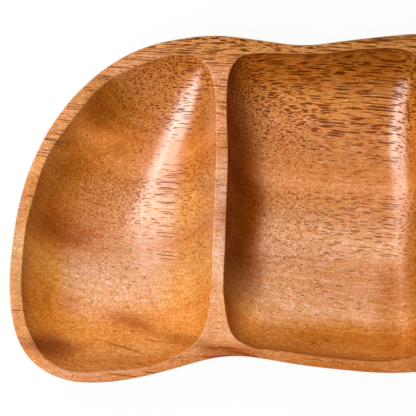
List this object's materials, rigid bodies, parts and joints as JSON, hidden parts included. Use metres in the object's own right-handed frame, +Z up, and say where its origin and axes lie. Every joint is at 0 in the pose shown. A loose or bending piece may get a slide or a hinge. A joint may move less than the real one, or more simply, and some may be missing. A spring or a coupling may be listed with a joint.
{
  "type": "divided serving bowl",
  "caption": "Long free-form wooden serving bowl, glued up from staves, with carved compartments parted by slim dividers and a flat base.",
  "frame": {"origin": "middle of the flat base's plane, under the middle of the tray's length and width", "axes": "+X along the tray towards the compartment that mirrors the left one, +Y to the rear, +Z up out of the compartments"},
  "size_m": [0.3698, 0.2014, 0.035],
  "materials": {
    "front_wood": "satin oil",
    "front_middle_wood": "satin oil",
    "rear_middle_wood": "satin oil",
    "rear_wood": "satin oil"
  },
  "bodies": {
    "root": {"front_stave": "front_wood", "front_middle_stave": "front_middle_wood", "rear_middle_stave": "rear_middle_wood", "rear_stave": "rear_wood"}
  },
  "joints": []
}
